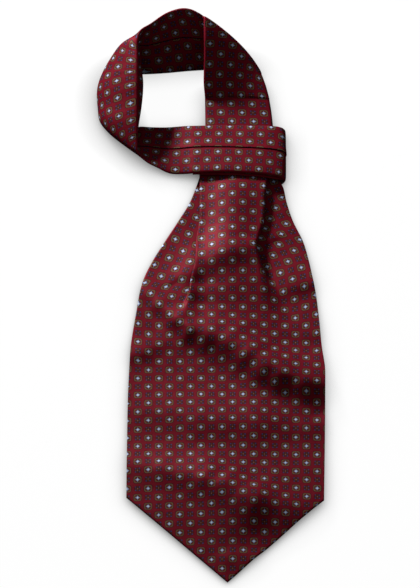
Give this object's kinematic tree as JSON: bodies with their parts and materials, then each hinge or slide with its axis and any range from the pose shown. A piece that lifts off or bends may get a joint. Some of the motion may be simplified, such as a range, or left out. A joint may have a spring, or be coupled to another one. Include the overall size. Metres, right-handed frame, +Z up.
{
  "type": "silk cravat",
  "caption": "Self-tie foulard silk cravat laid flat: a wide pointed blade pleated into a band that stands up as a neck loop and wraps once over the knot.",
  "frame": {"origin": "on the surface it lies on, below the centre of the whole garment's box", "axes": "+Z up off the surface, +Y from the blade's tip towards the neck loop, +X to the right"},
  "size_m": [0.1792, 0.5242, 0.0425],
  "materials": {
    "silk": "printed twill silk with a soft sheen"
  },
  "bodies": {
    "root": {"blade_front": "silk", "blade_back": "silk", "band_right": "silk", "band_top": "silk", "band_left": "silk", "front_wrap": "silk"}
  },
  "joints": []
}
